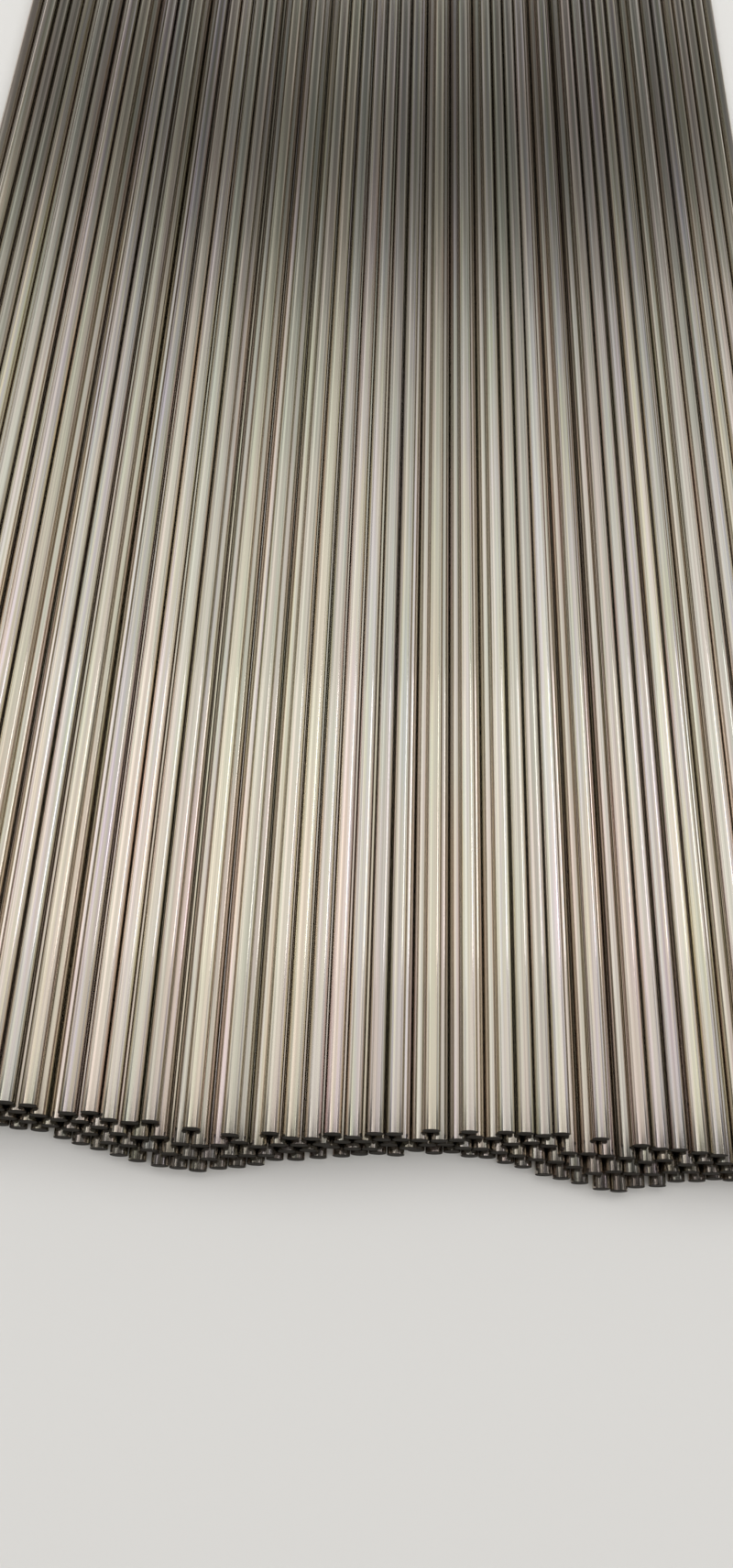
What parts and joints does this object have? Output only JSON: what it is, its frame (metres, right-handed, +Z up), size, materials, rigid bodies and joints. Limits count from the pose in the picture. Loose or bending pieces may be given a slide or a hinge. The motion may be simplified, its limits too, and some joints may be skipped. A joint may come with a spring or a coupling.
{
  "type": "bundle of round titanium bars",
  "caption": "Loose bundle of long straight round metal bars lying side by side in nested layers, with uneven sawn ends.",
  "frame": {"origin": "on the floor, in the middle of the bundle", "axes": "+Z up, the bars lie along Y with their near ends at -Y, +X to the right seen from the near ends"},
  "size_m": [0.1952, 1.0078, 0.0109],
  "materials": {
    "titanium": "ground, bright, with fine marks along the bar"
  },
  "bodies": {
    "root": {"bottom_layer_bars": "titanium", "second_layer_bars": "titanium", "third_layer_bars": "titanium", "top_layer_bars": "titanium"}
  },
  "joints": []
}
